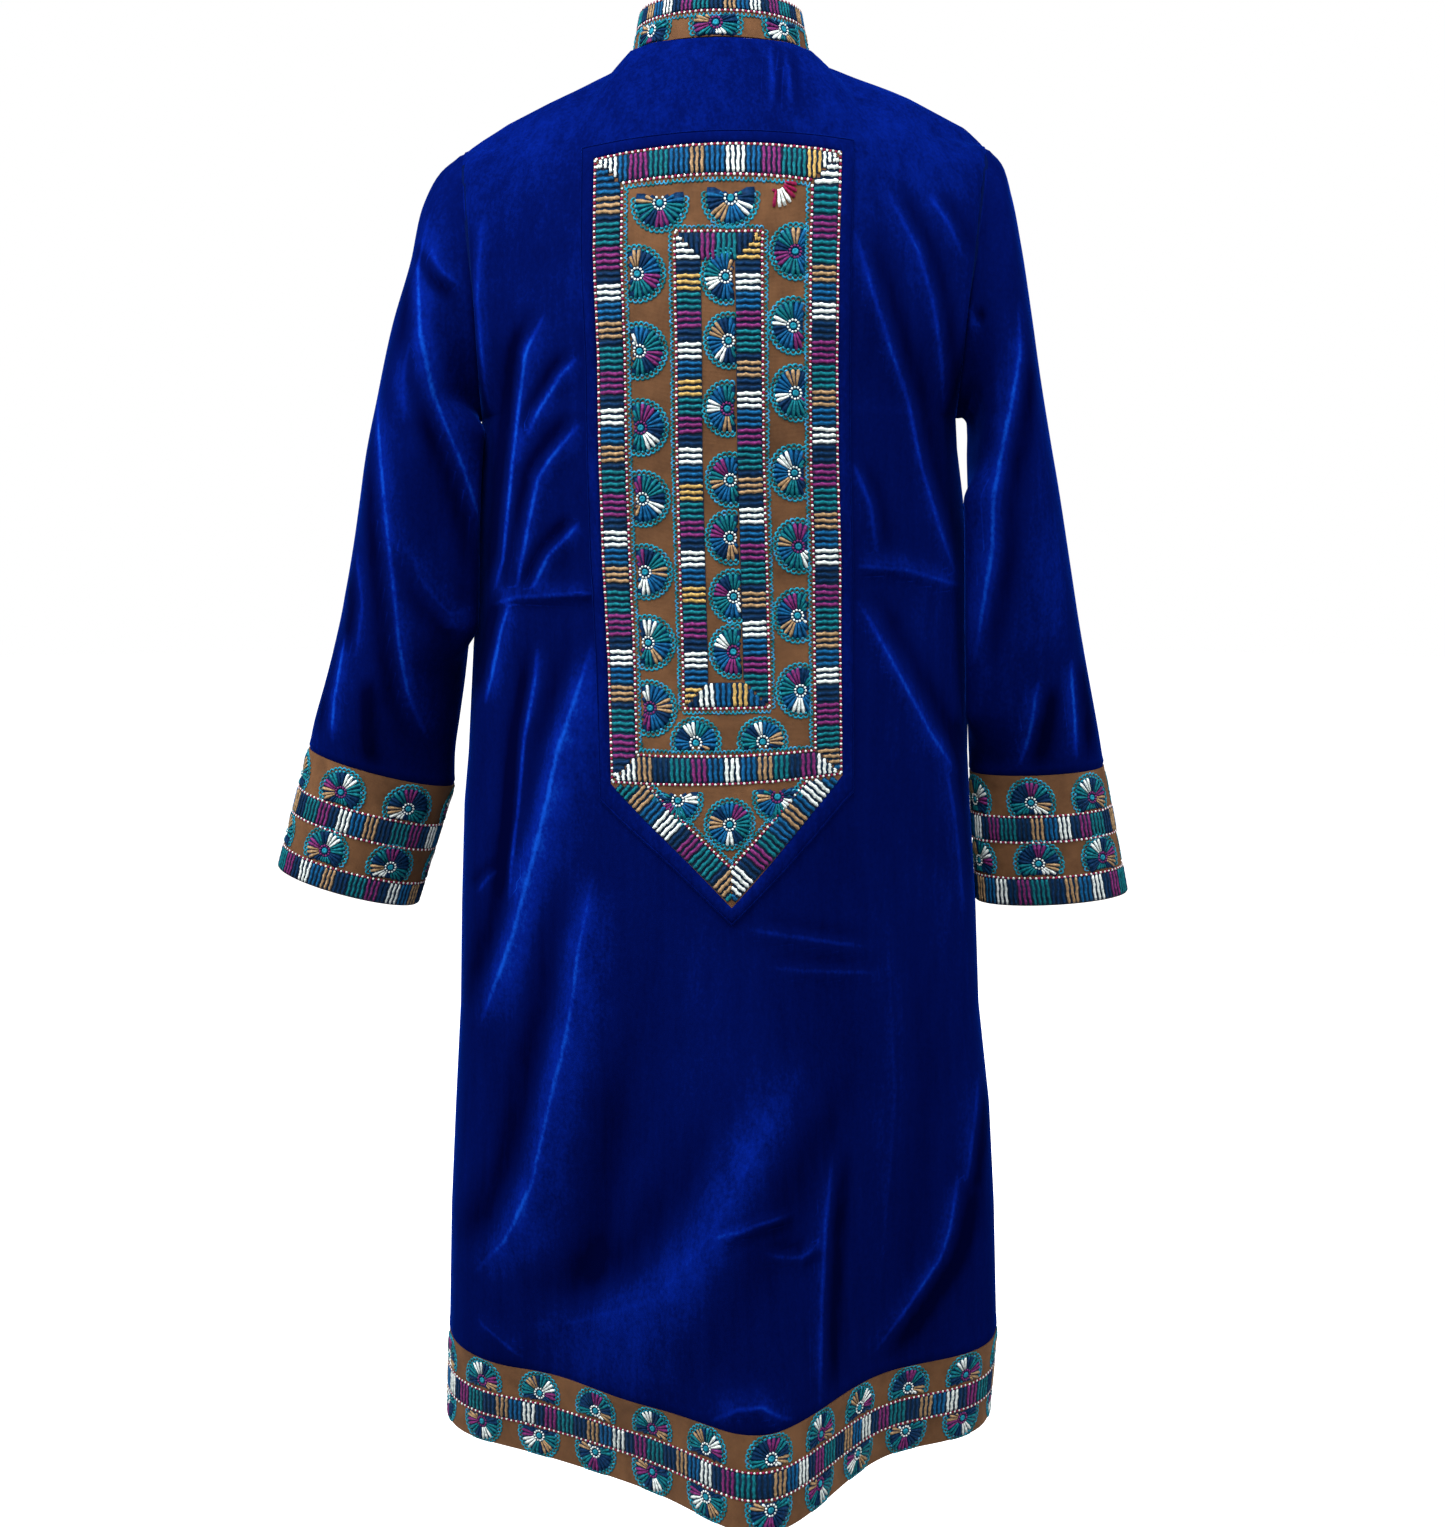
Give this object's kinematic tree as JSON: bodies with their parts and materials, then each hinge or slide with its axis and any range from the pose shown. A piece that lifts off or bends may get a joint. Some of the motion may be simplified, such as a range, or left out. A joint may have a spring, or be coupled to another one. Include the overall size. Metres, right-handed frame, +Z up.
{
  "type": "velvet coat",
  "caption": "Knee-length velvet coat filled out as worn, with a stand collar, long sleeves, and embroidered collar, cuffs, hem band and long pointed back panel.",
  "frame": {"origin": "centre of the neck base, level with the shoulder and neck points", "axes": "+Z up, the front faces -Y, the wearer's left is +X"},
  "size_m": [0.6707, 0.3673, 1.0803],
  "materials": {
    "velvet": "royal blue pile velvet, bright on folds",
    "embroidered_cloth": "brown plain weave with bright satin stitch bands and wheels"
  },
  "bodies": {
    "root": {"back": "velvet", "front_left": "velvet", "front_right": "velvet", "sleeve_left": "velvet", "sleeve_right": "velvet", "panel_frame": "velvet", "collar": "embroidered_cloth", "back_panel": "embroidered_cloth", "cuff_left": "embroidered_cloth", "cuff_right": "embroidered_cloth", "hem_band_back": "embroidered_cloth", "hem_band_front_left": "embroidered_cloth", "hem_band_front_right": "embroidered_cloth"}
  },
  "joints": []
}
